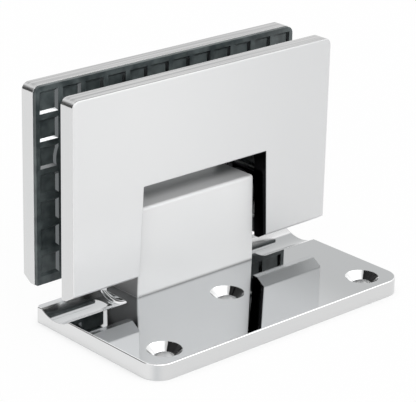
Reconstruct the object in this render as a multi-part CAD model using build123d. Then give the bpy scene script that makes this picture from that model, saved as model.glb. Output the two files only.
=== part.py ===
from build123d import *
import os

# Wall-to-glass door hinge: an offset wall plate carries a pivot block, and two notched clamp
# plates grip the glass and swing on a pin through the block, held at each quarter turn by a
# sprung pressure pad that bears on the pin's flats.
# Frame, in millimetres: X runs along the hinge, Y 0 is the pin axis and the middle of the
# glass, the long side of the wall plate reaches towards -Y, and Z 0 is the wall.

# ---------------------------------------------------------------- driving dimensions
# wall plate
wall_length = 89.0
wall_reach = 42.2            # from the pin axis to the long side's edge
wall_heel = 6.0              # from the pin axis to the short side's edge
wall_thickness = 4.5
wall_front_corner = 5.4
wall_back_corner = 1.2
wall_edge = 0.4
trough_radius = 10.5         # trough along the plate that the edge of the glass swings over
trough_depth = 1.75
trough_offset = 2.1          # from the pin axis towards the long side
trough_end_gap = 2.2         # flat strip left beside the block's foot
trough_end_round = 1.2

# wall screws, countersunk from the room side
wall_screw_hole = 5.2
wall_screw_head = 9.2
wall_screw_inset = 8.9       # from the ends to the outer screws
wall_screw_edge = 7.1        # from the long side's edge to the outer screws
middle_screw_offset = 19.6   # from the pin axis to the middle screw

# pivot block
pin_height = 18.9            # pin axis above the wall plate
block_over_pin = 6.2
block_front = 7.3            # from the pin axis to the block's broad front face
block_top_width = 40.4
block_draft = 1.9            # each flank, from top to foot
block_top_round = 0.9
block_corner_round = 0.6

# pin and its bearings
pin_diameter = 8.0
pin_end_inset = 0.8          # pin ends inside the bosses' outer faces
pin_flats = 6.4              # across the four detent flats
pin_flats_length = 19.0
pin_end_chamfer = 0.5
set_flat_depth = 0.7         # flat on each pin end, under its set screw
set_flat_length = 6.6
bush_wall = 0.8
bush_length = 9.0
washer_diameter = 11.2
washer_thickness = 2.0

# detent: pressure pad, two springs and the plate that they stand on
pad_length = 16.0
pad_width = 8.0
pad_height = 6.0
pad_corner = 1.0
spring_diameter = 5.2
spring_wire = 1.0
spring_turns = 3
spring_spacing = 8.4
spring_pocket_depth = 3.0
spring_plate_thickness = 1.5

# glass clamp plates
glass_thickness = 8.0
glass_play = 0.55            # each side, before the clamp screws are tightened
gasket_thickness = 1.15
clamp_length = 90.0
clamp_height = 54.2
clamp_thickness = 4.8
clamp_lift = 6.0             # from the wall plate up to the clamp plates
clamp_corner = 2.1
clamp_edge = 0.5
heel_chamfer_depth = 3.1     # bevel along the lower outer edge, across the plate
heel_chamfer_height = 2.0
front_notch_height = 26.4
rear_notch_height = 22.0
notch_top_gap = 1.4          # each side, wider than the top of the block
notch_foot_gap = 0.6         # each side, wider than the foot of the block
boss_height = 15.0           # bosses between the plates that carry the pin's ends
boss_length = 9.0
boss_round = 2.0

# gaskets: a rim, and a grid of square pockets between ribs
front_gasket_inset = 1.0     # from the plate's outline
rear_gasket_inset = 0.1
gasket_end_rim = 1.25
gasket_low_rim = 2.3
gasket_top_rim = 1.4
gasket_rib = 1.5
gasket_columns = 12
gasket_rows = 7
gasket_floor = 0.2

# screws
block_screw = 5.0
block_screw_head = 9.4
block_screw_length = 14.0
block_screw_spacing = 29.0
block_screw_socket = 3.0
clamp_screw = 6.0
clamp_screw_head = 11.4
clamp_screw_length = 12.0
clamp_screw_inset = 15.0     # from the plate's ends
clamp_screw_rise = 7.1       # above the notch
clamp_screw_socket = 4.0
set_screw = 5.0
set_screw_sunk = 1.0
set_screw_socket = 2.5
pillar_diameter = 11.0       # threaded pillars on the front plate, through the glass
sleeve_wall = 1.4

# clearances
running_clearance = 0.04     # pin in bushes, radial
fit_clearance = 0.02         # pressed or clamped parts, radial
thread_clearance = 0.05      # plain shank in its plain hole, radial
slide_clearance = 0.08       # pad in its pocket, each side
pad_clearance = 0.05         # pad to the pin's corners
side_clearance = 0.05        # each side of a thrust washer
seat_clearance = 0.1
tip_clearance = 0.6          # beyond a screw's tip in its blind hole

# ---------------------------------------------------------------- derived places
pin_radius = pin_diameter / 2
pin_z = wall_thickness + pin_height
block_top_z = pin_z + block_over_pin
block_top_half = block_top_width / 2
block_foot_half = block_top_half + block_draft
wall_screw_x = wall_length / 2 - wall_screw_inset
slot_half = glass_thickness / 2 + glass_play + gasket_thickness
clamp_outer = slot_half + clamp_thickness
clamp_z = wall_thickness + clamp_lift
clamp_top_z = clamp_z + clamp_height
front_notch_z = clamp_z + front_notch_height
rear_notch_z = clamp_z + rear_notch_height
notch_top_half = block_top_half + notch_top_gap
notch_foot_half = block_foot_half + notch_foot_gap
bush_radius = pin_radius + running_clearance + bush_wall
washer_radius = washer_diameter / 2
washer_seat_x = block_top_half
boss_inner_x = washer_seat_x + washer_thickness + 2 * side_clearance
boss_outer_x = boss_inner_x + boss_length
boss_middle_x = (boss_inner_x + boss_outer_x) / 2
boss_low_z = pin_z - boss_height / 2
boss_top_z = pin_z + boss_height / 2
pad_top_z = pin_z - pin_radius - pad_clearance
pad_pocket_z = pad_top_z - pad_height + spring_pocket_depth
pillar_x = clamp_length / 2 - clamp_screw_inset
pillar_z = front_notch_z + clamp_screw_rise
pillar_radius = pillar_diameter / 2
sleeve_radius = pillar_radius + thread_clearance + sleeve_wall
pin_half = boss_outer_x - pin_end_inset
overrun = 1.0                # how far a cutter runs past a face
deep = 200.0                 # longer than any cut needs


# ---------------------------------------------------------------- helpers
def tube_x(radius, x_from, x_to, z=pin_z):
    """Round bar along X, from one X to another."""
    return Pos((x_from + x_to) / 2, 0, z) * Rot(0, 90, 0) * Cylinder(radius, x_to - x_from)


def bar_y(radius, x, z, y_from, y_to):
    """Round bar along Y."""
    return Pos(x, (y_from + y_to) / 2, z) * Rot(90, 0, 0) * Cylinder(radius, y_to - y_from)


def slab_y(sketch, y_from, y_to):
    """Sketch in X and Z, carried along Y."""
    return extrude(Plane.XZ.offset(-y_to) * sketch, y_to - y_from)


def countersunk(shank_radius, head_radius, length):
    """Countersunk form with its flat top at Z 0, pointing down, 90 degree cone."""
    cone_height = head_radius - shank_radius
    cone = Pos(0, 0, -cone_height / 2) * Cone(shank_radius, head_radius, cone_height)
    return cone + Pos(0, 0, -length / 2) * Cylinder(shank_radius, length)


def countersunk_screw(diameter, head, length, socket):
    """Countersunk screw with a hexagon socket, head up at Z 0."""
    land = 0.3
    body = Pos(0, 0, -land) * countersunk(diameter / 2, head / 2, length - land)
    body += Pos(0, 0, -land / 2) * Cylinder(head / 2, land)
    tip = body.faces().sort_by(Axis.Z)[0].edges()
    body = chamfer(tip, diameter / 8)
    depth = diameter / 2
    hexagon = RegularPolygon(socket / 2, 6, major_radius=False)
    return body - extrude(Pos(0, 0, -depth) * hexagon, depth)


def countersunk_hole(diameter, head, clearance):
    """Hole that the same screw drops into, with its mouth at Z 0."""
    land = 0.3
    form = Pos(0, 0, -land) * countersunk(diameter / 2 + clearance, head / 2 + clearance, deep)
    return form + Cylinder(head / 2 + clearance, 2 * land)


def notch_sketch(side):
    """X and Z outline of one plate's notch: its flanks open slightly towards the wall."""
    top = front_notch_z if side < 0 else rear_notch_z
    slope = (notch_foot_half - notch_top_half) / front_notch_height
    low_half = notch_foot_half + slope * clamp_lift
    high_half = notch_foot_half - slope * (top - clamp_z)
    points = [
        (-low_half, clamp_z - clamp_lift),
        (low_half, clamp_z - clamp_lift),
        (high_half, top),
        (-high_half, top),
    ]
    return make_face(Polyline(*points, close=True))


# ---------------------------------------------------------------- wall side
def trough_cutter(side):
    """Round-edged cylinder along X that starts beside the block's foot."""
    start_x = block_foot_half + trough_end_gap
    ends = sorted((side * start_x, side * wall_length))
    centre_z = wall_thickness + trough_radius - trough_depth
    cutter = tube_x(trough_radius, ends[0], ends[1], centre_z)
    rims = cutter.edges().filter_by(GeomType.CIRCLE).sort_by(Axis.X)
    cutter = fillet(rims[0] if side > 0 else rims[-1], trough_end_round)
    return Pos(0, -trough_offset, 0) * cutter


def wall_plate():
    """Flat plate with a trough either side of the block's seat and three countersunk holes."""
    outline = Pos(0, (wall_heel - wall_reach) / 2) * Rectangle(wall_length, wall_reach + wall_heel)
    corners = outline.vertices().sort_by(Axis.Y)
    outline = fillet(corners[:2], wall_front_corner)
    corners = outline.vertices().sort_by(Axis.Y)
    outline = fillet(corners[-2:], wall_back_corner)
    plate = extrude(outline, wall_thickness)
    plate = fillet(plate.faces().sort_by(Axis.Z)[-1].edges(), wall_edge)
    for side in (-1, 1):
        plate -= trough_cutter(side)
    hole = Pos(0, 0, wall_thickness) * countersunk(wall_screw_hole / 2, wall_screw_head / 2, deep)
    outer_y = wall_screw_edge - wall_reach
    for x, y in ((-wall_screw_x, outer_y), (wall_screw_x, outer_y), (0, -middle_screw_offset)):
        plate -= Pos(x, y) * hole
    under = Rot(180, 0, 0) * countersunk_hole(block_screw, block_screw_head, seat_clearance)
    for side in (-1, 1):
        plate -= Pos(side * block_screw_spacing / 2, 0) * under
    return plate


def pivot_block():
    """Block with drafted flanks, bored for the pin and pocketed from below for the detent."""
    points = [
        (-block_foot_half, wall_thickness),
        (block_foot_half, wall_thickness),
        (block_top_half, block_top_z),
        (-block_top_half, block_top_z),
    ]
    block = slab_y(make_face(Polyline(*points, close=True)), -block_front, wall_heel)
    long_edges = block.faces().sort_by(Axis.Z)[-1].edges().filter_by(Axis.X)
    block = fillet(long_edges, block_top_round)
    flank_edges = block.faces().sort_by(Axis.X)[0].edges() + block.faces().sort_by(Axis.X)[-1].edges()
    block = fillet(flank_edges.filter_by(lambda edge: edge.center().Z > wall_thickness + block_corner_round),
                   block_corner_round)
    block -= tube_x(bush_radius + fit_clearance, -block_foot_half, block_foot_half)
    for side in (-1, 1):
        seat = sorted((side * washer_seat_x, side * (block_foot_half + overrun)))
        block -= tube_x(washer_radius + seat_clearance, seat[0], seat[1])
        screw_depth = block_screw_length + tip_clearance - wall_thickness
        block -= Pos(side * block_screw_spacing / 2, 0, wall_thickness + screw_depth / 2) * Cylinder(
            block_screw / 2 + thread_clearance, screw_depth)
    pocket = extrude(Pos(0, 0, wall_thickness) * pad_outline(slide_clearance), pin_height)
    return block - pocket


def pad_outline(clearance):
    """Rounded rectangle of the pad, or of the pocket that guides it."""
    return RectangleRounded(pad_length + 2 * clearance, pad_width + 2 * clearance,
                            pad_corner + clearance)


def block_screws():
    """Two countersunk screws, from under the wall plate up into the block."""
    screw = Rot(180, 0, 0) * countersunk_screw(block_screw, block_screw_head, block_screw_length,
                                               block_screw_socket)
    offset = block_screw_spacing / 2
    return [Pos(x, 0, seat_clearance) * screw for x in (-offset, offset)]


def pressure_pad():
    """Pad drawn back clear of the pin's corners, with two blind spring holes in its underside."""
    pad = extrude(Pos(0, 0, pad_top_z - pad_height) * pad_outline(0), pad_height)
    radius = spring_diameter / 2 + seat_clearance
    for x in (-spring_spacing / 2, spring_spacing / 2):
        middle_z = pad_top_z - pad_height + spring_pocket_depth / 2
        pad -= Pos(x, 0, middle_z) * Cylinder(radius, spring_pocket_depth)
    return pad


def detent_spring(side):
    """Coil spring between the spring plate and the pad."""
    wire = spring_wire / 2
    foot_z = wall_thickness + spring_plate_thickness + wire + fit_clearance
    height = pad_pocket_z - wire - fit_clearance - foot_z
    coil = Helix(height / spring_turns, height, spring_diameter / 2 - wire)
    start = Plane(origin=coil @ 0, z_dir=coil % 0)
    return Pos(side * spring_spacing / 2, 0, foot_z) * sweep(start * Circle(wire), path=coil)


def spring_plate():
    """Flat plate on the wall plate, inside the block's pocket."""
    inset = seat_clearance
    sheet = RectangleRounded(pad_length - 2 * inset, pad_width - 2 * inset, pad_corner)
    return extrude(Pos(0, 0, wall_thickness) * sheet, spring_plate_thickness)


def bush(side):
    """Plain bush pressed into one end of the block's bore."""
    ends = sorted((side * washer_seat_x, side * (washer_seat_x - bush_length)))
    ring = tube_x(bush_radius, ends[0], ends[1])
    return ring - tube_x(pin_radius + running_clearance, ends[0] - overrun, ends[1] + overrun)


def thrust_washer(side):
    """Washer between the block's flank and the boss of the clamp plate."""
    near = washer_seat_x + side_clearance
    ends = sorted((side * near, side * (near + washer_thickness)))
    ring = tube_x(washer_radius, ends[0], ends[1])
    return ring - tube_x(pin_radius + seat_clearance, ends[0] - overrun, ends[1] + overrun)


# ---------------------------------------------------------------- door side
def pivot_pin():
    """Round pin: four flats in the middle for the pad, one flat on each end for a set screw."""
    pin = tube_x(pin_radius, -pin_half, pin_half)
    ends = pin.edges().filter_by(GeomType.CIRCLE)
    pin = chamfer(ends, pin_end_chamfer)
    middle = Pos(0, 0, pin_z) * Box(pin_flats_length, pin_diameter + overrun, pin_diameter + overrun)
    square = Pos(0, 0, pin_z) * Box(pin_flats_length, pin_flats, pin_flats)
    pin -= middle - square
    flat_y = pin_radius - set_flat_depth
    for side in (-1, 1):
        cut = Box(set_flat_length, set_flat_depth, pin_diameter)
        pin -= Pos(side * boss_middle_x, flat_y + set_flat_depth / 2, pin_z) * cut
    return pin


def clamp_blank(side):
    """Notched plate: side -1 in front of the glass, +1 behind it, with a bevelled lower edge."""
    inner = slot_half
    outer = clamp_outer
    section = [
        (side * inner, clamp_top_z),
        (side * outer, clamp_top_z),
        (side * outer, clamp_z + heel_chamfer_height),
        (side * (outer - heel_chamfer_depth), clamp_z),
        (side * inner, clamp_z),
    ]
    face = make_face(Plane.YZ.offset(-clamp_length / 2) * Polyline(*section, close=True))
    plate = extrude(face, clamp_length, dir=(1, 0, 0))
    outline = Pos(0, (clamp_z + clamp_top_z) / 2) * Rectangle(clamp_length, clamp_height)
    outline = fillet(outline.vertices().sort_by(Axis.Y)[-2:], clamp_corner)
    outline -= notch_sketch(side)
    span = sorted((side * inner, side * outer))
    plate = plate & slab_y(outline, span[0], span[1])
    broad = plate.faces().sort_by(Axis.Y)[-1 if side > 0 else 0]
    return fillet(broad.edges(), clamp_edge)


def front_clamp_plate():
    """Plain outer face; two threaded pillars reach through the glass towards the rear plate."""
    plate = clamp_blank(-1)
    reach = slot_half - 4 * seat_clearance
    bore_end = clamp_outer - clamp_screw_length - tip_clearance
    for x in (-pillar_x, pillar_x):
        plate += bar_y(pillar_radius, x, pillar_z, -slot_half - overrun, reach)
        plate -= bar_y(clamp_screw / 2 + thread_clearance, x, pillar_z, bore_end,
                       reach + overrun)
    return plate


def rear_clamp_plate():
    """Carries the pin in two bosses; clamp screws and set screws enter from its outer face."""
    plate = clamp_blank(1)
    front_y = -slot_half + seat_clearance
    for side in (-1, 1):
        shape = RectangleRounded(boss_length, boss_height, boss_round)
        boss = slab_y(Pos(side * boss_middle_x, pin_z) * shape, front_y,
                      slot_half + overrun)
        plate += boss
    for side in (-1, 1):
        ends = sorted((side * (boss_inner_x - overrun), side * (boss_outer_x + overrun)))
        bore = tube_x(pin_radius + fit_clearance, ends[0], ends[1])
        plate -= bore
        plate -= bar_y(set_screw / 2 + thread_clearance, side * boss_middle_x, pin_z, 0, deep)
        hole = Rot(-90, 0, 0) * countersunk_hole(clamp_screw, clamp_screw_head, seat_clearance)
        plate -= Pos(side * pillar_x, clamp_outer, pillar_z) * hole
    return plate


def gasket_window(side, margin):
    """X and Z outline of the cut-out round the notch and the bosses, widened by a margin."""
    gap = seat_clearance + margin
    top = (front_notch_z if side < 0 else rear_notch_z) + gap
    low = clamp_z - clamp_lift
    notch = Pos(0, (low + top) / 2) * Rectangle(2 * (notch_foot_half + gap), top - low)
    boss_low = boss_low_z - gap
    boss_top = boss_top_z + gap
    bosses = Pos(0, (boss_low + boss_top) / 2) * Rectangle(2 * (boss_outer_x + gap),
                                                           boss_top - boss_low)
    return notch + bosses


def gasket_pockets(side, width, height, low_z):
    """Grid of square pockets, trimmed back from the cut-outs by one rib."""
    grid_height = height - gasket_low_rim - gasket_top_rim
    cell_x = (width - 2 * gasket_end_rim - (gasket_columns - 1) * gasket_rib) / gasket_columns
    cell_z = (grid_height - (gasket_rows - 1) * gasket_rib) / gasket_rows
    middle = Pos(0, low_z + gasket_low_rim + grid_height / 2)
    grid = middle * GridLocations(cell_x + gasket_rib, cell_z + gasket_rib,
                                  gasket_columns, gasket_rows)
    cells = Sketch() + [place * Rectangle(cell_x, cell_z) for place in grid]
    cells -= gasket_window(side, gasket_rib)
    for x in (-pillar_x, pillar_x):
        cells -= Pos(x, pillar_z) * Circle(sleeve_radius + seat_clearance + gasket_rib)
    return [cell for cell in cells.faces() if cell.area > gasket_rib * cell_x]


def gasket(side):
    """Moulded gasket on a clamp plate's inner face: pockets open towards the glass."""
    inset = front_gasket_inset if side < 0 else rear_gasket_inset
    width = clamp_length - 2 * inset
    height = clamp_height - 2 * inset
    low_z = clamp_z + inset
    outline = Pos(0, low_z + height / 2) * Rectangle(width, height)
    outline = fillet(outline.vertices().sort_by(Axis.Y)[-2:], clamp_corner)
    outline -= gasket_window(side, 0)
    for x in (-pillar_x, pillar_x):
        outline -= Pos(x, pillar_z) * Circle(sleeve_radius + seat_clearance)
    face = slot_half - gasket_thickness
    floor = slot_half - gasket_floor
    span = sorted((side * face, side * slot_half))
    pocket_span = sorted((side * (face - gasket_floor), side * floor))
    sheet = slab_y(outline, span[0], span[1])
    cells = Sketch() + gasket_pockets(side, width, height, low_z)
    return sheet - slab_y(cells, pocket_span[0], pocket_span[1])


def clamp_screws():
    """Two countersunk screws, from the rear plate's outer face into the front plate's pillars."""
    screw = Rot(-90, 0, 0) * countersunk_screw(clamp_screw, clamp_screw_head, clamp_screw_length,
                                               clamp_screw_socket)
    head_y = clamp_outer - seat_clearance
    return [Pos(x, head_y, pillar_z) * screw for x in (-pillar_x, pillar_x)]


def pin_set_screws():
    """Two grub screws that lock the pin's ends."""
    y_from = pin_radius - set_flat_depth + fit_clearance
    y_to = clamp_outer - set_screw_sunk
    screws = []
    for side in (-1, 1):
        body = bar_y(set_screw / 2, side * boss_middle_x, pin_z, y_from, y_to)
        body = chamfer(body.edges().filter_by(GeomType.CIRCLE), set_screw / 10)
        hexagon = Pos(side * boss_middle_x, pin_z) * RegularPolygon(set_screw_socket / 2, 6,
                                                                    major_radius=False)
        screws.append(body - slab_y(hexagon, y_to - set_screw / 2, y_to + overrun))
    return screws


def pillar_sleeve(side):
    """Soft sleeve on a pillar, from one clamp plate to the other, that keeps the glass off it."""
    x = side * pillar_x
    half = slot_half - fit_clearance
    ring = bar_y(sleeve_radius, x, pillar_z, -half, half)
    return ring - bar_y(pillar_radius + thread_clearance, x, pillar_z, -half - overrun,
                        half + overrun)


# ---------------------------------------------------------------- nodes
def write(node, pieces):
    """One STEP file for one node, which may hold several like solids."""
    solids = pieces if isinstance(pieces, list) else [pieces]
    found = [solid for piece in solids for solid in piece.solids()]
    shape = found[0] if len(found) == 1 else Compound(children=found)
    export_step(shape, f"parts/{node}.step")


os.makedirs("parts", exist_ok=True)
write("wall_plate", wall_plate())
write("pivot_block", pivot_block())
write("block_screws", block_screws())
write("spring_plate", spring_plate())
write("pressure_pad", pressure_pad())
write("pivot_pin", pivot_pin())
write("front_clamp_plate", front_clamp_plate())
write("rear_clamp_plate", rear_clamp_plate())
write("clamp_screws", clamp_screws())
write("pin_set_screws", pin_set_screws())
for name, side in (("left", -1), ("right", 1)):
    write(f"{name}_bush", bush(side))
    write(f"{name}_thrust_washer", thrust_washer(side))
    write(f"{name}_detent_spring", detent_spring(side))
    write(f"{name}_pillar_sleeve", pillar_sleeve(side))
for name, side in (("front", -1), ("rear", 1)):
    write(f"{name}_gasket", gasket(side))
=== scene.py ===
# %% [markdown]
# # Wall-to-glass door hinge: from CAD solids to a studio scene
#
# This hinge carries a frameless glass door. Its wall plate is screwed to the wall, a pivot
# block stands on the plate, and two clamp plates with rubber gaskets grip the glass and swing
# on a pin through the block.
#
# The solids come packed as a fixed frame, one mesh for each node. This script dresses them: it
# gives every node a procedural material, puts reshaped copies in the place of both gaskets and
# of the block, and sets a floor, a studio and a camera round them.
#
# Everything is in metres and in the frame of the solids: X runs along the hinge, Y 0 is the
# axis of the pin, the long side of the wall plate points to -Y, and Z 0 is the wall.

# %% Load the frame
import math

import bmesh
import bpy
import numpy as np
from mathutils import Matrix


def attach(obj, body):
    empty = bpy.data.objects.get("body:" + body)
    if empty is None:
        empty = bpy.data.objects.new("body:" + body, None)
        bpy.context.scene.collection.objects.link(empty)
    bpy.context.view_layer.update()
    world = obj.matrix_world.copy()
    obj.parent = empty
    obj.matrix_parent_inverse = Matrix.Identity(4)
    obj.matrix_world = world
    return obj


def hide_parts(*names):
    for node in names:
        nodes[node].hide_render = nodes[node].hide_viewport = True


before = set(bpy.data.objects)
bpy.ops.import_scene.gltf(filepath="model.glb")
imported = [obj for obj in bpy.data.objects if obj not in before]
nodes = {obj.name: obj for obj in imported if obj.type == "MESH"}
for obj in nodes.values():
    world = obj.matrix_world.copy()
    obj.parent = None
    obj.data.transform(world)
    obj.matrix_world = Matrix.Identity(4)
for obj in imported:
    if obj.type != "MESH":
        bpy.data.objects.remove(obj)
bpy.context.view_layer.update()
millimetre = 0.001

# %% [markdown]
# ## Shader arithmetic
#
# A finish is a formula: more haze here, a darker tone there. It could be put together by hand
# in the shader editor, but as text it is shorter and easier to change. `Sock` wraps one output
# socket, so that `a * b + 0.5` adds the Math nodes that compute it, and `make` adds any other
# kind of node.

# %% Socket arithmetic
class Sock:
    """One output socket of a node tree, with arithmetic that adds Math nodes."""

    def __init__(self, tree, socket):
        self.tree = tree
        self.socket = socket

    def feed(self, target):
        """Link this output to an input."""
        self.tree.links.new(self.socket, target)

    def make(self, kind, out=0, inputs=None, **settings):
        """Add a node of any kind, set it up, feed its inputs and return one of its outputs."""
        return make(self.tree, kind, out, inputs, **settings)

    def other(self, out):
        """Another output of the same node."""
        return Sock(self.tree, self.socket.node.outputs[out])

    def axes(self):
        """The three parts of a vector, under the names X, Y and Z."""
        split = self.make("ShaderNodeSeparateXYZ", 0, {0: self})
        return {axis: split.other(axis) for axis in "XYZ"}

    def math(self, operation, *others):
        """Math node on this value and the others."""
        inputs = dict(enumerate((self, *others)))
        return self.make("ShaderNodeMath", 0, inputs, operation=operation)

    def __add__(self, other):
        return self.math("ADD", other)

    def __radd__(self, other):
        return self.math("ADD", other)

    def __sub__(self, other):
        return self.math("SUBTRACT", other)

    def __rsub__(self, other):
        return self.make("ShaderNodeMath", 0, {0: other, 1: self}, operation="SUBTRACT")

    def __neg__(self):
        return 0.0 - self

    def __mul__(self, other):
        return self.math("MULTIPLY", other)

    def __rmul__(self, other):
        return self.math("MULTIPLY", other)

    def smooth(self, low, high, start, end):
        """Smooth step from start to end as the value goes from low to high."""
        inputs = {0: self, 1: low, 2: high, 3: start, 4: end}
        return self.make("ShaderNodeMapRange", 0, inputs, interpolation_type="SMOOTHSTEP")

    def rise(self, low, high):
        """Smooth step from 0 at low to 1 at high."""
        return self.smooth(low, high, 0.0, 1.0)

    def fall(self, low, high):
        """Smooth step from 1 at low to 0 at high."""
        return self.smooth(low, high, 1.0, 0.0)


def make(tree, kind, out=0, inputs=None, **settings):
    """Add a node, apply its settings, then set or link its inputs by index or name."""
    node = tree.nodes.new(kind)
    for name, value in settings.items():
        setattr(node, name, value)
    for key, value in (inputs or {}).items():
        if isinstance(value, Sock):
            value.feed(node.inputs[key])
        else:
            node.inputs[key].default_value = value
    return Sock(tree, node.outputs[out])


print("a socket can", ", ".join(name for name in vars(Sock) if not name.startswith("_")))

# %% [markdown]
# ## A new material
#
# Every finish starts from the Principled shader, which covers metal, rubber and plastic alike.
# What is the same all over a piece is set on the shader's own sockets, and only what varies is
# linked.

# %% New materials
def material(name, **constants):
    """New Principled material with constant inputs set. Returns it, its tree and its shader."""
    made = bpy.data.materials.new(name)
    made.use_nodes = True
    shader = made.node_tree.nodes["Principled BSDF"]
    for key, value in constants.items():
        shader.inputs[key.replace("_", " ")].default_value = value
    return made, made.node_tree, shader


print("each material starts as a Principled shader")

# %% [markdown]
# ## Patterns that the finishes share
#
# No plated or moulded surface is even: handling leaves a haze, polishing leaves hair lines. An
# image could bring that, but the solids have no UV maps to lay it on. Noise needs none. It
# reads Object coordinates, which are the frame in metres, so that a pattern has its real size
# and runs over all pieces.

# %% Noise and streaks
streak_scale = 4.0


def noise(tree, coordinates, scale, detail=2.0):
    """Noise between 0 and 1, whose features are about 1 / scale metres across."""
    inputs = {"Vector": coordinates, "Scale": scale, "Detail": detail}
    return make(tree, "ShaderNodeTexNoise", 0, inputs)


def streaks(tree, coordinates, stretch):
    """Noise of the place times stretch, which is drawn out along the axis of the least stretch."""
    drawn = make(tree, "ShaderNodeMapping", 0, {"Vector": coordinates, "Scale": stretch})
    return noise(tree, drawn, streak_scale)


print("streaks have a scale of", streak_scale)

# %% [markdown]
# ## Edges and gaps
#
# On a plated piece every edge is slightly round and catches a line of light, and a gap of a
# millimetre lies in black shade. Rounding each edge of each mesh would cost thousands of faces, so
# that line of light is painted into the colour as a highlight, and the black of the gaps as
# painted shade. The Bevel node tells which normal a rounded edge would have, and where that
# differs from the true one there is an edge. The Ambient Occlusion node tells how much of the
# space near a point is free, which says where the painted shade goes.

# %% Edges and gaps
bevel_samples = 6
occlusion_samples = 8


def roundness(tree, radius):
    """1 - N . B for the true normal N and the rounded one B: above 0 along edges only."""
    soft = make(tree, "ShaderNodeBevel", 0, {"Radius": radius}, samples=bevel_samples)
    true = make(tree, "ShaderNodeNewGeometry", "Normal")
    both = {0: soft, 1: true}
    return 1.0 - make(tree, "ShaderNodeVectorMath", "Value", both, operation="DOT_PRODUCT")


def openness(tree, distance):
    """1 in the open, towards 0 where surfaces stand closer than that distance."""
    inputs = {"Distance": distance}
    return make(tree, "ShaderNodeAmbientOcclusion", "AO", inputs, samples=occlusion_samples)


print("edges take", bevel_samples, "samples and gaps take", occlusion_samples)

# %% [markdown]
# ## Colours and bumps
#
# Colours go through Mix nodes, since a Math node would turn them grey. A mask between 0 and 1
# then says where one colour gives way to another. Grain that is too fine to be modelled only
# tilts the normal, by a Bump node, with its true depth in metres.

# %% Colours and bumps
mix_a, mix_b, mixed_colour = 6, 7, 2  # colour sockets of the Mix node


def tinted(tree, mask, dark, light):
    """Colour dark + (light - dark) * mask."""
    inputs = {0: mask, mix_a: (*dark, 1.0), mix_b: (*light, 1.0)}
    return make(tree, "ShaderNodeMix", mixed_colour, inputs, data_type="RGBA")


def shaded(tree, colour, mask, deep):
    """Colour deep + (colour - deep) * mask: a mask of 1 leaves the colour as it is."""
    inputs = {0: mask, mix_a: deep if isinstance(deep, Sock) else (*deep, 1.0), mix_b: colour}
    return make(tree, "ShaderNodeMix", mixed_colour, inputs, data_type="RGBA")


def bump(tree, height, distance):
    """Surface normal from a height between 0 and 1 that stands for a distance in metres."""
    return make(tree, "ShaderNodeBump", 0, {"Height": height, "Distance": distance})


print("colours mix by a mask between 0 and 1")

# %% [markdown]
# ## Which way a face looks
#
# A broad face, a chamfer, an end and a countersink each catch the studio in their own way, and
# that light and shade is painted into their colour as a tone for each direction. Each could have
# its own material, but a solid's faces would have to be picked out one by one for that. The normal
# picks them by itself. It is taken in Object space, where it stays as it is when the clamp plates
# swing; in world space it would change with the pose.

# %% Masks by direction
sideways = (0.50, 0.58)  # |N.x| at which a slope begins to be a flank
field_end = (0.0420, 0.0425)  # |X| where the drilled field of the wall plate ends
field_side = (-0.0130, -0.0125)  # Y where that field meets the trough


def face_ways(tree, place):
    """Masks from the normal N: |N.x|, |N.y|, N.z, -N.z, and three that are worked out.

    slope = 8 s (1 - s) with s = N.z ** 2 is 2 on a slope of 45 degrees and 0 on level and
    upright faces, flank = slope / 2 on the sides that look to +X or -X, and cone = flank
    within the drilled field, where only the countersinks slope.
    """
    facing = make(tree, "ShaderNodeTexCoord", "Normal").axes()
    steep = facing["Z"].math("POWER", 2.0)
    ways = {"x": facing["X"].math("ABSOLUTE"), "y": facing["Y"].math("ABSOLUTE"),
            "z": facing["Z"], "under": -facing["Z"], "slope": steep * (1.0 - steep) * 8.0}
    ways["flank"] = ways["slope"] * 0.5 * ways["x"].rise(*sideways)
    short_of_ends = place["X"].math("ABSOLUTE").fall(*field_end)
    ways["cone"] = ways["flank"] * short_of_ends * place["Y"].fall(*field_side)
    return ways


print("flanks begin at |N.x|", sideways[0])

# %% [markdown]
# ## Painted light and shade on plated metal
#
# What one sees on plating is mostly the room that it mirrors. A whole room could be built round
# the hinge, but a lamp that is moved for one face shows on all the others too. So the studio stays
# plain, and small functions paint the light and shade that it leaves out into the metal's colour:
# a shade along the piece, light and shade by the way a face looks, and black shade where two
# pieces nearly meet.

# %% Painted light and shade
# Black of the painted shade in gaps and in the notch
shade_black = (0.008, 0.008, 0.009)
squarely = (0.70, 0.95)  # mask of a direction at which its painted tone sets in
plainly = (0.60, 0.90)  # mask of a direction at which the painted black gap shade sets in
edge_turn = (0.02, 0.12)  # roundness between a flat face and an edge
crevice_free = (0.45, 0.90)  # openness between a crevice and the open
cool = (1.0, 1.01, 1.015)  # a dark painted tone is slightly blue
notch_fade = 1.1  # the notch's painted black shade ends at this multiple of its half-width


def shade_drifted(tree, colour, place, axis, start, end, far):
    """Colour with a painted shade that turns it into far as the place along an axis goes from
    start to end.
    """
    return shaded(tree, colour, place[axis].fall(start, end), far)


def painted_tone(tree, colour, way, pattern, low, high):
    """Colour with painted light and shade: a grey between low and high on the faces that look one
    way.
    """
    grey = tinted(tree, pattern, tuple(low * part for part in cool), (high, high, high))
    return shaded(tree, colour, way.fall(*squarely), grey)


def gap_shaded(tree, colour, ways, distance, low, high):
    """Colour with painted shade: black on ends and level faces whose openness falls from high to
    low.
    """
    end_or_level = ways["x"].math("MAXIMUM", ways["z"]).rise(*plainly)
    free = 1.0 - end_or_level * openness(tree, distance).fall(low, high)
    return shaded(tree, colour, free, shade_black)


def notch_shaded(tree, colour, place, ways, half):
    """Colour with painted shade: black on the end faces of the notch, where |X| is below half."""
    outer = place["X"].math("ABSOLUTE").rise(half, half * notch_fade)
    free = outer.math("MAXIMUM", ways["x"].fall(*plainly))
    return shaded(tree, colour, free, shade_black)


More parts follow.
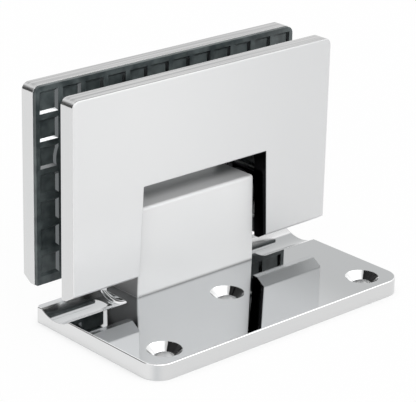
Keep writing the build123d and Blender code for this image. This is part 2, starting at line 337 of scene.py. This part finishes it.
def crevice_shaded(tree, colour, ways, distance, deep):
    """Colour with painted contact shade: the grey deep in crevices of that distance, except on
    ends.
    """
    free = openness(tree, distance).rise(*crevice_free).math("MAXIMUM", ways["x"])
    return shaded(tree, colour, free, (deep, deep, deep))


print("gaps are shaded to", shade_black)

# %% [markdown]
# ## One recipe for all metal
#
# A mirror, a satin plate and a turned screw differ in numbers, not in kind, so one function makes
# them all. Its colour is hazy, and then the painted light and shade above are laid over it. Its
# roughness comes from the same haze and from hair lines, and rises on slopes and edges, which a
# polishing wheel reaches less. Metallic is 1 for a mirror. Blasted plating scatters so much light
# that a lower value, which mixes in some plain colour, looks more like it.

# %% Metal finishes
haze_scale, haze_detail = 60.0, 3.0
haze_band, haze_rough = (0.35, 0.70), 0.04  # over this band of haze the roughness rises by that
hair_stretch = (40.0, 900.0, 900.0)  # hair lines run along X
top_streak_stretch, top_streak_band = (5.0, 350.0, 350.0), (0.35, 0.65)  # and so do the streaks, as of grinding, in the painted tone of top faces
slope_band, slope_rough = (0.04, 1.2), 0.12  # roughness that slopes add
edge_rougher, flank_rougher = 0.5, 0.25  # roughness that edges and flanks add
broad_face = (0.35, 0.50)  # |N.y| of broad faces, where the edges are polished
grain_scale, grain_detail = 4000.0, 1.0


def metal(name, dark, light, rough, grain, metallic=1.0, hairline=0.02, shade_drift=None, painted_tones=None,
          rim_highlight=None, gap=None, walls=None, crevice=None, edge_rough=None):
    """Plated metal: haze from dark to light, roughness from rough up, blasted grain deep.

    The arguments after hairline, up to edge_rough, hold the last values of the painted light and
    shade above: a shade that grows along the piece, greys by facing, the radius and colour of a
    highlight along the edges, and gap, notch and crevice shade. edge_rough is the roughness of
    edges that are polished to a mirror.
    """
    made, tree, shader = material(name, Metallic=metallic)
    coordinates = make(tree, "ShaderNodeTexCoord", "Object")
    place = coordinates.axes()
    ways = face_ways(tree, place)
    haze = noise(tree, coordinates, haze_scale, haze_detail)
    hair = streaks(tree, coordinates, hair_stretch)
    level = haze.smooth(*haze_band, rough, rough + haze_rough) + hair * hairline
    level = level + ways["slope"].rise(*slope_band) * slope_rough
    colour = tinted(tree, haze, dark, light)
    # Painted shade: the colour darkens along one axis.
    if shade_drift:
        colour = shade_drifted(tree, colour, place, *shade_drift)
    # Painted light and shade: a grey for the faces that look each way.
    for way, (low, high) in (painted_tones or {}).items():
        # On top faces the painted tone is streaked along X; elsewhere it follows the haze.
        streaked_top = way == "z"
        pattern = streaks(tree, coordinates, top_streak_stretch).rise(*top_streak_band) if streaked_top else haze
        colour = painted_tone(tree, colour, ways[way], pattern, low, high)
    # Painted highlight: a line of light along every edge, which also makes the edges rougher.
    if rim_highlight:
        radius, highlight = rim_highlight
        edge = roundness(tree, radius)
        colour = shaded(tree, colour, edge.fall(*edge_turn), highlight)
        level = level + edge.rise(*edge_turn) * edge_rougher
    # Painted shade: black in gaps.
    if gap:
        colour = gap_shaded(tree, colour, ways, *gap)
    # Painted shade: black on the notch's end faces.
    if walls:
        colour = notch_shaded(tree, colour, place, ways, walls)
    # Painted shade: dark grey in crevices where pieces meet.
    if crevice:
        colour = crevice_shaded(tree, colour, ways, *crevice)
    if edge_rough is not None:
        broad = ways["y"].rise(*broad_face)
        level = level * broad + (1.0 - broad) * (ways["flank"] * flank_rougher + edge_rough)
        (1.0 - broad * (1.0 - metallic)).feed(shader.inputs["Metallic"])
    colour.feed(shader.inputs["Base Color"])
    level.feed(shader.inputs["Roughness"])
    grains = noise(tree, coordinates, grain_scale, grain_detail)
    bump(tree, grains, grain).feed(shader.inputs["Normal"])
    return made


print("haze features of", round(1 / haze_scale / millimetre, 1), "mm")

# %% [markdown]
# ## The polished wall plate
#
# The wall plate is polished and then plated to a mirror, with a roughness near 0 and a grain far
# below a micron. A painted shade darkens it slowly towards +X. Painted light makes its narrow
# sides lighter than its top, a painted highlight lies along its rounded rims, slopes such as those
# of the trough get the lightest painted tone of all, and the countersinks carry a painted dark
# reflection.

# %% Polished plate
polished = metal("polished_chrome", (0.585, 0.598, 0.607), (0.61, 0.62, 0.63), 0.012, 5e-8,
                 hairline=0.01, shade_drift=("X", 0.005, 0.030, (0.47, 0.48, 0.485)),
                 painted_tones={"x": (0.72, 0.78), "y": (0.66, 0.69), "slope": (0.92, 0.94),
                        "cone": (0.02, 0.03)},
                 rim_highlight=(0.0005, (0.66, 0.67, 0.675)))
print("wall plate:", polished.name)

# %% [markdown]
# ## The satin clamp plates
#
# The broad faces of the clamp plates are blasted before they are plated and spread what they
# mirror, while their edges are polished to a gloss. Their light and shade is painted into the
# colour: a shade that darkens them towards +X, a grey on the ends, a lighter tone on faces that
# look down, a darker tone on the top edge, streaked along X like grinding marks, and a highlight
# along every edge. The walls of the notch and the gap behind the front plate are painted black as
# shade.

# %% Satin plates
satin = metal("satin_plate", (0.765, 0.77, 0.775), (0.79, 0.793, 0.795), 0.36, 4e-7,
              metallic=0.6, shade_drift=("X", -0.030, 0.045, (0.675, 0.68, 0.685)),
              painted_tones={"x": (0.67, 0.71), "z": (0.42, 0.58), "under": (0.94, 0.96)},
              rim_highlight=(0.0004, (0.88, 0.88, 0.88)), gap=(0.006, 0.72, 0.99), walls=0.030,
              edge_rough=0.10)
print("clamp plates:", satin.name)

# %% [markdown]
# ## The blasted block
#
# The block is blasted more evenly and mirrors the least, so its Metallic is low and its front
# looks almost white. Its flanks stand in the shade of the notch, painted on them as a dark grey,
# and a painted shade darkens its top towards the pin, where the rear plate closes over it. Its
# gaps are painted black, its crevices, such as the one at its foot, a dark grey, and a painted
# highlight runs along its edges.

# %% Blasted block
blasted = metal("satin_block", (0.77, 0.775, 0.78), (0.795, 0.798, 0.80), 0.40, 4e-7,
                metallic=0.25, shade_drift=("Y", -0.0040, 0.0012, (0.25, 0.26, 0.265)),
                painted_tones={"x": (0.24, 0.34), "y": (0.77, 0.795)}, rim_highlight=(0.0003, (0.80, 0.80, 0.80)),
                gap=(0.004, 0.30, 0.70), crevice=(0.0012, 0.30))
print("block:", blasted.name)

# %% [markdown]
# ## Turned steel and spring wire
#
# Screws, pin and spring plate are plain turned stainless steel, and the detent springs are of
# drawn wire. Little more than the heads of the screws shows from outside, so the bare recipe
# with more hair lines will do.

# %% Steel and wire
steel = metal("turned_steel", (0.50, 0.50, 0.49), (0.60, 0.60, 0.585), 0.16, 2e-7, hairline=0.1)
wire = metal("spring_wire", (0.40, 0.40, 0.40), (0.50, 0.50, 0.49), 0.22, 2e-7, hairline=0.06)
print("small pieces:", steel.name, wire.name)

# %% [markdown]
# ## Moulded rubber and plastic
#
# The gaskets are a dark green-grey rubber with a slight sheen. The sloped walls of their pockets
# are made glossier and metallic, and a highlight is painted on them: a pale one on the ledges that
# look up, on the upper rows only, and a weak one on the walls that look to -X, while the gaskets'
# outer sides stay plain. A second material could be laid on those walls, but masks by direction
# and place need no picking of faces. The bushes, washers, pad and sleeves are black acetal,
# without the painted highlight.

# %% Painted highlights in the pockets
sheen_broad = (0.88, 0.96)  # |N.y| of the gaskets' broad faces
sheen_turn = (0.45, 0.60)  # how far a wall looks up, or to -X
sheen_height = (0.037, 0.050)  # Z over which the ledges' painted highlight sets in
sheen_left = (-0.0439, -0.0438)  # X between the gasket's outer side and its first pockets
sheen_top = (0.0634, 0.0635)  # Z between its highest pockets and its top
# Colours of the painted highlights on the ledges and on the walls
ledge_highlight, wall_highlight = (0.86, 0.87, 0.88), (0.15, 0.16, 0.165)


def pocket_sheen(tree, place):
    """Masks of the painted highlights: on the ledges, where N.z is high, on the upper rows only,
    and on the walls, where -N.x is high.

    Both are 0 on the broad faces, where |N.y| is high, and on the gasket's outer sides.
    """
    facing = make(tree, "ShaderNodeTexCoord", "Normal").axes()
    narrow = 1.0 - facing["Y"].math("ABSOLUTE").rise(*sheen_broad)
    inside = place["X"].rise(*sheen_left) * place["Z"].fall(*sheen_top)
    high = place["Z"].rise(*sheen_height)
    ledge = facing["Z"].rise(*sheen_turn) * narrow * high * inside
    wall = (-facing["X"]).rise(*sheen_turn) * narrow * inside
    return ledge, wall


print("the film begins at a height of", round(sheen_height[0] / millimetre), "mm")

# %% Moulded finishes
mottle_scale, mottle_detail = 260.0, 4.0
mottle_band, mottle_rough = (0.3, 0.7), 0.1
sheen_gloss = 0.5  # share of the roughness that the sheen takes away
skin_scale, skin_detail = 2500.0, 2.0


def moulded(name, dark, light, rough, grain, painted_sheen=False):
    """Rubber or plastic, mottled from dark to light. With the pocket sheen on, its pocket sides
    get painted highlights, a lower roughness and some Metallic.
    """
    made, tree, shader = material(name)
    coordinates = make(tree, "ShaderNodeTexCoord", "Object")
    mottle = noise(tree, coordinates, mottle_scale, mottle_detail)
    colour = tinted(tree, mottle.rise(*mottle_band), dark, light)
    level = mottle.smooth(*mottle_band, rough, rough + mottle_rough)
    if painted_sheen:
        ledge, wall = pocket_sheen(tree, coordinates.axes())
        # Painted highlights on the ledges and walls, where the lower roughness and the Metallic
        # also make the rubber mirror the studio.
        colour = shaded(tree, colour, 1.0 - ledge, ledge_highlight)
        colour = shaded(tree, colour, 1.0 - wall, wall_highlight)
        level = level * (1.0 - (ledge + wall) * sheen_gloss)
        (ledge + wall).math("MINIMUM", 1.0).feed(shader.inputs["Metallic"])
    colour.feed(shader.inputs["Base Color"])
    level.feed(shader.inputs["Roughness"])
    skin = noise(tree, coordinates, skin_scale, skin_detail)
    bump(tree, skin, grain).feed(shader.inputs["Normal"])
    return made


rubber = moulded("gasket_rubber", (0.035, 0.046, 0.048), (0.105, 0.125, 0.127), 0.34, 1.5e-6,
                 painted_sheen=True)
acetal = moulded("black_acetal", (0.012, 0.012, 0.013), (0.02, 0.02, 0.021), 0.34, 1e-6)
print("moulded finishes:", rubber.name, acetal.name)

# %% [markdown]
# ## Which node wears which finish
#
# A CAD node keeps its mesh and its place, and only its material is set. One table holds all
# of them, so that a finish can be changed in one line.

# %% Dress the nodes
dressing = {
    polished: ["wall_plate"],
    satin: ["front_clamp_plate", "rear_clamp_plate"],
    blasted: ["pivot_block"],
    steel: ["block_screws", "spring_plate", "pivot_pin", "clamp_screws", "pin_set_screws"],
    wire: ["left_detent_spring", "right_detent_spring"],
    rubber: ["front_gasket", "rear_gasket"],
    acetal: ["pressure_pad", "left_bush", "right_bush", "left_thrust_washer",
             "right_thrust_washer", "left_pillar_sleeve", "right_pillar_sleeve"],
}
for finish, names in dressing.items():
    for name in names:
        nodes[name].data.materials.clear()
        nodes[name].data.materials.append(finish)
print("dressed", sum(len(names) for names in dressing.values()), "nodes")

# %% [markdown]
# ## Copies that can be reshaped
#
# Two kinds of piece differ from their solids by a slight slope. They could be modelled anew,
# but a copy of the solid's mesh has every hole and edge in place already. Its loose triangles
# are merged and its flat faces joined first, or a Bevel would find an edge in each seam.

# %% Merged copy and stand-in
merge_within = 0.001 * millimetre
flat_angle = 0.001  # radians


def merged_copy(name):
    """Copy of a node's mesh with seams merged and flat faces joined, and its points in mm."""
    mesh = nodes[name].data.copy()
    work = bmesh.new()
    work.from_mesh(mesh)
    bmesh.ops.remove_doubles(work, verts=work.verts, dist=merge_within)
    flat_edges = [edge for edge in work.edges if edge.calc_face_angle(0.0) < flat_angle]
    bmesh.ops.dissolve_edges(work, edges=flat_edges, use_verts=False)
    work.to_mesh(mesh)
    work.free()
    points = np.empty(len(mesh.vertices) * 3, dtype=np.float32)
    mesh.vertices.foreach_get("co", points)
    return mesh, points.reshape(-1, 3) / millimetre


def stand_in(name, mesh, points, body):
    """Object that replaces a node by its reshaped mesh, and rides on the node's body."""
    mesh.vertices.foreach_set("co", (points * millimetre).astype(np.float32).ravel())
    mesh.update()
    piece = bpy.data.objects.new(name + "_shaped", mesh)
    bpy.context.collection.objects.link(piece)
    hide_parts(name)
    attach(piece, body)
    print(name, len(mesh.vertices), "points,", len(mesh.polygons), "faces")
    return piece


print("points closer than", merge_within / millimetre, "mm are merged")

# %% [markdown]
# ## Drafted pockets
#
# A moulded gasket has no upright walls: each pocket narrows towards its floor, or the gasket
# would not leave its mould. A lattice would bend the rims along with the walls, so only the
# points of the floors are drawn in, x' = c + (x - c) * k for a pocket centred on c and the
# same along Z, with k = 1 - 2 * draft / cell. A Bevel modifier then rounds the edges.

# %% Draft the gaskets' pockets
draft = 0.62 * millimetre
floor_lift = 0.25 * millimetre
edge_round, edge_steps, edge_angle = 0.12 * millimetre, 2, math.radians(25)
rib, floor_within = 1.5, 0.01  # millimetres
grids = {  # body, first cell's corner (X, Z), cell (X, Z), and floor Y, all in millimetres
    "front_gasket": ("door_side", (-42.75, 13.8), (5.75, 39.5 / 7), -5.5),
    "rear_gasket": ("door_side", (-43.65, 12.9), (5.9, 5.9), 5.5),
}


def drafted(points, corner, cell, floor_y):
    """Points in millimetres, with x' = c + (x - c) * k and the same along Z on pocket floors."""
    place, size = points[:, [0, 2]], np.array(cell)
    index = np.floor((place - corner + rib / 2) / (size + rib))
    centre = corner + index * (size + rib) + size / 2
    inner = centre + (place - centre) * (1 - 2 * draft / millimetre / size)
    on_floor = np.abs(points[:, 1] - floor_y) < floor_within
    moved = points.copy()
    moved[:, [0, 2]] = np.where(on_floor[:, None], inner, place)
    moved[on_floor, 1] -= math.copysign(floor_lift / millimetre, floor_y)
    return moved


for name, (body, corner, cell, floor_y) in grids.items():
    mesh, points = merged_copy(name)
    points = drafted(points, np.array(corner), cell, floor_y)
    gasket = stand_in(name, mesh, points, body)
    soft = gasket.modifiers.new("moulded_edges", "BEVEL")
    soft.width = edge_round
    soft.segments = edge_steps
    soft.limit_method = "ANGLE"
    soft.angle_limit = edge_angle

# %% [markdown]
# ## The block's flanks
#
# The flanks of the pivot block stand steeper than those of its solid, which is wider at the
# foot. With t = 0 at the top and t = 1 at the foot, every point of a flank moves inwards by
# 1.2 t mm, so the flanks stay flat and the block stays inside its solid.

# %% Steepen the flanks
flank_from, foot_z, top_z, foot_inset = 19.0, 4.5, 29.6, 1.2  # millimetres
mesh, points = merged_copy("pivot_block")
drop = np.clip((top_z - points[:, 2]) / (top_z - foot_z), 0, 1)
on_flank = np.abs(points[:, 0]) > flank_from
points[:, 0] -= np.where(on_flank, np.sign(points[:, 0]) * foot_inset * drop, 0)
stand_in("pivot_block", mesh, points, "wall_side")

# %% [markdown]
# ## Floor
#
# The hinge lies on a plain white floor. Enough light for a white floor would bleach the metal.
# So for the camera and for reflections the floor glows with a strength just under 1, which is
# white, and what is left of it is a matt surface that takes the object's shadow. Close to the
# object and inside its holes the glow fades, so the contact stays dark there.

# %% White floor
floor_side, floor_grey, floor_rough = 6.0, 0.86, 0.9
contact_reach, contact_band, glow_share = 0.008, (0.10, 0.85), 0.95  # metres, openness, share


def floor_sheet(size):
    """Flat square of that side at Z 0: corners (+-size / 2, +-size / 2, 0)."""
    half = size / 2
    corners = [(-half, -half, 0), (half, -half, 0), (half, half, 0), (-half, half, 0)]
    mesh = bpy.data.meshes.new("floor")
    mesh.from_pydata(corners, [], [(0, 1, 2, 3)])
    sheet = bpy.data.objects.new("floor", mesh)
    bpy.context.collection.objects.link(sheet)
    return sheet


def background_ray(tree):
    """1 for rays that see the background itself: from the camera, off gloss, through glass."""
    ray = make(tree, "ShaderNodeLightPath", "Is Camera Ray")
    seen = ray + ray.other("Is Glossy Ray") + ray.other("Is Transmission Ray")
    return seen.math("MINIMUM", 1.0)


floor = floor_sheet(floor_side)
white, tree, shader = material("white_floor", Roughness=floor_rough,
                               Base_Color=(floor_grey, floor_grey, floor_grey, 1.0))
glow = make(tree, "ShaderNodeEmission", 0, {"Color": (1, 1, 1, 1), "Strength": 1.0})
matt = Sock(tree, shader.outputs[0])
open_floor = openness(tree, contact_reach).smooth(*contact_band, 0.0, glow_share)
glowing = background_ray(tree) * open_floor
mixed = make(tree, "ShaderNodeMixShader", 0, {0: glowing, 1: matt, 2: glow})
mixed.feed(tree.nodes["Material Output"].inputs["Surface"])
floor.data.materials.append(white)
print("floor of", floor_side, "by", floor_side, "m")

# %% [markdown]
# ## Surround
#
# A mirror needs something to mirror. A panorama of a real studio would do, but a formula of
# the direction needs no file, and each of its parts can be moved by a number. The surround is
# white for the camera, and for light and reflections it is a soft dome: pale grey all round, a
# brighter band in front from which most of the light comes, dimmer patches overhead, and one
# dark panel at the back left, which gives the polished plate its dark lines.

# %% Soft surround
# Each pair is where a part sets in or ends, along one axis of a direction of length 1.
horizon_level, zenith_level, dome_top = 0.98, 0.95, 0.9
patch_scale, patch_band, patch_from, patch_dim = 3.2, (0.47, 0.52), (0.72, 0.80), 0.45
front_side, front_foot, front_head, front_level = (0.1, 0.5), (0.40, 0.52), (0.75, 0.95), 1.4
panel_left, panel_back, panel_head, panel_dim = (0.30, 0.38), (0.2, 0.4), (0.60, 0.66), 0.93

world = bpy.data.worlds.new("surround")
bpy.context.scene.world = world
world.use_nodes = True
tree = world.node_tree
tree.nodes.clear()
direction = make(tree, "ShaderNodeTexCoord", "Generated")
across, along, up = direction.axes().values()
dome = up.smooth(0.0, dome_top, horizon_level, zenith_level)
patches = noise(tree, direction, patch_scale, 0.0).rise(*patch_band) * up.rise(*patch_from)
front = (-along).rise(*front_side) * up.rise(*front_foot) * up.fall(*front_head)
panel = (-across).rise(*panel_left) * along.rise(*panel_back) * up.fall(*panel_head)
lit = (dome + front * front_level) * (1.0 - panel * panel_dim) * (1.0 - patches * patch_dim)
camera_ray = make(tree, "ShaderNodeLightPath", "Is Camera Ray")
strength = camera_ray + (1.0 - camera_ray) * lit
surround = make(tree, "ShaderNodeBackground", 0, {0: (1, 1, 1, 1), 1: strength})
world_output = tree.nodes.new("ShaderNodeOutputWorld")
surround.feed(world_output.inputs["Surface"])
print("surround of", len(tree.nodes), "nodes")

# %% [markdown]
# ## Camera
#
# A long lens looks from the front left, a little above the hinge, which keeps the plates'
# edges nearly parallel. A Track To constraint could aim it, but not roll it. So its axes are
# worked out from azimuth, elevation and roll, and stand as the columns of its matrix.

# %% Camera
camera_place = np.array([-0.3280, -0.3678, 0.2178])
azimuth, elevation, roll = (math.radians(angle) for angle in (42.604, 21.385, -1.355))
focal_length, sensor, nearest = 169.9, 36.0, 0.01  # millimetres, millimetres, metres

forward = np.array([math.sin(azimuth) * math.cos(elevation),
                    math.cos(azimuth) * math.cos(elevation), -math.sin(elevation)])
sideward = np.array([math.cos(azimuth), -math.sin(azimuth), 0.0])
down = np.cross(forward, sideward)
right = sideward * math.cos(roll) + down * math.sin(roll)
upward = -np.cross(forward, right)

lens = bpy.data.cameras.new("camera")
lens.lens = focal_length
lens.sensor_width = sensor
lens.clip_start = nearest
camera = bpy.data.objects.new("camera", lens)
bpy.context.collection.objects.link(camera)
matrix = np.eye(4)
matrix[:3, :3] = np.column_stack([right, upward, -forward])
matrix[:3, 3] = camera_place
camera.matrix_world = Matrix(matrix.tolist())
bpy.context.scene.camera = camera
bpy.context.scene.view_settings.view_transform = "Standard"
print("camera at", camera_place.tolist())
